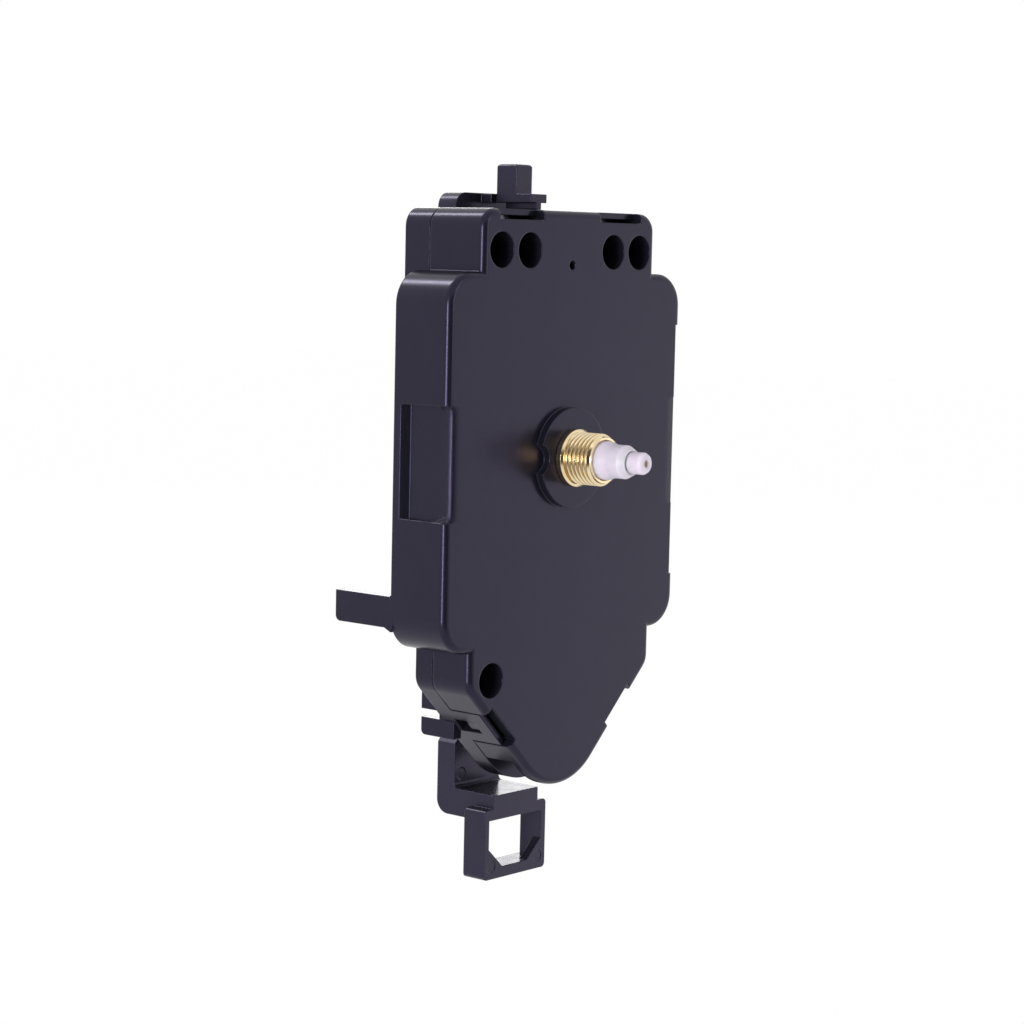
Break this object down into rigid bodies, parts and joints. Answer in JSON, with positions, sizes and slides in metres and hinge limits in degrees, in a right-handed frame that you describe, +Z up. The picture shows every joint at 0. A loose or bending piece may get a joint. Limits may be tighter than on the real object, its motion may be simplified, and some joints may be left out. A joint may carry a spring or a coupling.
{
  "type": "pendulum clock movement",
  "caption": "Battery clock movement in a black moulded case, with a threaded brass hand shaft and a hanging pendulum lever that ends in an open hook frame.",
  "frame": {"origin": "where the axis of the hand shafts crosses the front face of the case", "axes": "+Z up, towards the case's head; -Y forward, along the hand shafts towards the dial; +X to the right seen from the front"},
  "size_m": [0.0544, 0.037, 0.1098],
  "materials": {
    "case_plastic": "semi-gloss moulded, near black with a violet tint",
    "cover_plastic": "semi-gloss moulded, near black",
    "lever_plastic": "semi-gloss moulded, near black",
    "bush_brass": "turned",
    "shaft_plastic": "translucent white nylon",
    "gear_plastic": "natural acetal",
    "seconds_plastic": "brown acetal",
    "bobbin_plastic": "natural nylon",
    "copper_wire": "enamelled copper wire",
    "board_laminate": "green laminate",
    "chip_resin": "black resin",
    "crystal_can": "plated can",
    "contact_metal": "nickel plated strip",
    "soft_iron": "stamped sheet",
    "magnet_ferrite": "sintered, dull dark grey"
  },
  "bodies": {
    "case": {"front_case": "case_plastic", "rear_cover": "cover_plastic", "hand_shaft_bush": "bush_brass", "train_plate": "gear_plastic", "rear_bridge": "gear_plastic", "motor_stator": "soft_iron", "coil_core": "soft_iron", "motor_coil_bobbin": "bobbin_plastic", "motor_coil_winding": "copper_wire", "circuit_board": "board_laminate", "quartz_crystal": "crystal_can", "chip_blob": "chip_resin", "battery_contact_plus": "contact_metal", "battery_contact_minus": "contact_metal", "drive_coil_bobbin": "bobbin_plastic", "drive_coil_winding": "copper_wire"},
    "rotor": {"rotor_magnet": "magnet_ferrite", "rotor_pinion": "gear_plastic"},
    "intermediate": {"intermediate_wheel": "gear_plastic"},
    "seconds": {"seconds_wheel": "seconds_plastic"},
    "third": {"third_wheel": "gear_plastic"},
    "minute": {"minute_wheel": "shaft_plastic"},
    "motion": {"motion_wheel": "gear_plastic"},
    "hour": {"hour_wheel": "shaft_plastic"},
    "setting": {"setting_wheel": "gear_plastic", "set_knob": "cover_plastic"},
    "lever": {"pendulum_lever": "lever_plastic", "pendulum_magnet": "magnet_ferrite"}
  },
  "joints": [
    {"name": "rotor_spin", "type": "hinge", "parent": "case", "child": "rotor", "pos_m": [-0.01302, 0, 0.00536], "axis": [0, 1, 0], "continuous": true},
    {"name": "intermediate_spin", "type": "hinge", "parent": "case", "child": "intermediate", "pos_m": [-0.00695, 0, 0.00186], "axis": [0, 1, 0], "continuous": true},
    {"name": "seconds_spin", "type": "hinge", "parent": "case", "child": "seconds", "pos_m": [0, 0, 0], "axis": [0, 1, 0], "continuous": true},
    {"name": "third_spin", "type": "hinge", "parent": "case", "child": "third", "pos_m": [-0.00142, 0, 0.00804], "axis": [0, 1, 0], "continuous": true},
    {"name": "minute_spin", "type": "hinge", "parent": "case", "child": "minute", "pos_m": [0, 0, 0], "axis": [0, 1, 0], "continuous": true},
    {"name": "motion_spin", "type": "hinge", "parent": "case", "child": "motion", "pos_m": [-0.00509, 0, -0.00509], "axis": [0, 1, 0], "continuous": true},
    {"name": "hour_spin", "type": "hinge", "parent": "case", "child": "hour", "pos_m": [0, 0, 0], "axis": [0, 1, 0], "continuous": true},
    {"name": "setting_spin", "type": "hinge", "parent": "case", "child": "setting", "pos_m": [-0.01186, 0, -0.00755], "axis": [0, 1, 0], "continuous": true},
    {"name": "pendulum_swing", "type": "hinge", "parent": "case", "child": "lever", "pos_m": [0, 0.0118, 0.0366], "axis": [0, 1, 0], "range_deg": [-3.4, 3.4]}
  ],
  "couplings": [
    {"joint": "rotor_spin", "follows": "minute_spin", "ratio": 1800},
    {"joint": "intermediate_spin", "follows": "minute_spin", "ratio": -300},
    {"joint": "seconds_spin", "follows": "minute_spin", "ratio": 60},
    {"joint": "third_spin", "follows": "minute_spin", "ratio": -8},
    {"joint": "motion_spin", "follows": "minute_spin", "ratio": -0.33333},
    {"joint": "hour_spin", "follows": "minute_spin", "ratio": 0.083333},
    {"joint": "setting_spin", "follows": "minute_spin", "ratio": 1}
  ]
}
